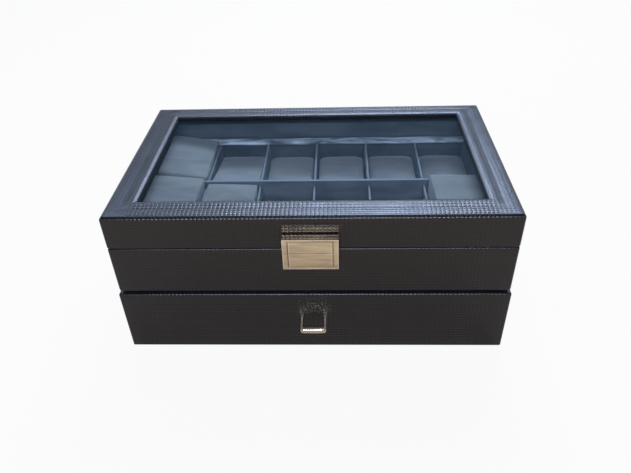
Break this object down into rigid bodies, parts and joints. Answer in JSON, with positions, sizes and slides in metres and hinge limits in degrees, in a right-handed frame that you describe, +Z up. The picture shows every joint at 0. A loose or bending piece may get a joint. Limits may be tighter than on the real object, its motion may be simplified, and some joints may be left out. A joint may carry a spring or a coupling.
{
  "type": "watch display case",
  "caption": "Leather-covered display case for watches: hinged glazed lid over a cushioned tray, front latch, and a sliding drawer below.",
  "frame": {"origin": "centre of the case's underside, on the surface that it stands on", "axes": "+X to the right of someone facing the latch, -Y out of the front, +Z up"},
  "size_m": [0.337, 0.226, 0.146],
  "materials": {
    "leather": "embossed, satin",
    "suede_lining": "matt, napped",
    "lined_board": "matt, napped",
    "board": "matt paper covering",
    "pillow": "matt, napped",
    "metal": "polished champagne plating",
    "glass": "clear",
    "felt": "matt"
  },
  "bodies": {
    "case": {"case_front_panel": "leather", "case_back_panel": "leather", "case_left_side": "leather", "case_right_side": "leather", "tray_wall_lining": "suede_lining", "tray_floor_pad": "suede_lining", "rear_ledge_strip": "suede_lining", "cross_divider": "lined_board", "column_divider_1": "lined_board", "column_divider_2": "lined_board", "column_divider_3": "lined_board", "column_divider_4": "lined_board", "column_divider_5": "lined_board", "case_base_panel": "board", "middle_shelf": "board", "front_watch_pillow_1": "pillow", "front_watch_pillow_2": "pillow", "front_watch_pillow_3": "pillow", "front_watch_pillow_4": "pillow", "front_watch_pillow_5": "pillow", "front_watch_pillow_6": "pillow", "rear_watch_pillow_1": "pillow", "rear_watch_pillow_2": "pillow", "rear_watch_pillow_3": "pillow", "rear_watch_pillow_4": "pillow", "rear_watch_pillow_5": "pillow", "rear_watch_pillow_6": "pillow", "left_hinge_case_leaf": "metal", "left_hinge_pin": "metal", "right_hinge_case_leaf": "metal", "right_hinge_pin": "metal", "catch_plate": "metal", "base_felt": "felt"},
    "lid": {"lid_front_rail": "leather", "lid_rear_rail": "leather", "lid_left_rail": "leather", "lid_right_rail": "leather", "glass_pane": "glass", "glass_retainer": "suede_lining", "lid_wall_lining": "suede_lining", "left_hinge_lid_leaf": "metal", "right_hinge_lid_leaf": "metal", "latch_mount": "metal", "latch_pin": "metal"},
    "latch": {"latch_flap": "metal"},
    "drawer": {"drawer_front": "leather", "drawer_left_side": "board", "drawer_right_side": "board", "drawer_back": "board", "drawer_bottom": "board", "drawer_lining": "suede_lining", "drawer_long_divider": "lined_board", "drawer_short_divider_1": "lined_board", "drawer_short_divider_2": "lined_board", "drawer_short_divider_3": "lined_board", "drawer_pull": "metal"}
  },
  "joints": [
    {"name": "lid_hinge", "type": "hinge", "parent": "case", "child": "lid", "pos_m": [0, 0.1049, 0.1146], "axis": [-1, 0, 0], "range_deg": [0, 100]},
    {"name": "latch_flip", "type": "hinge", "parent": "lid", "child": "latch", "pos_m": [0, -0.1072, 0.1261], "axis": [-1, 0, 0], "range_deg": [0, 95]},
    {"name": "drawer_slide", "type": "slide", "parent": "case", "child": "drawer", "axis": [0, -1, 0], "range_m": [0, 0.15]}
  ]
}
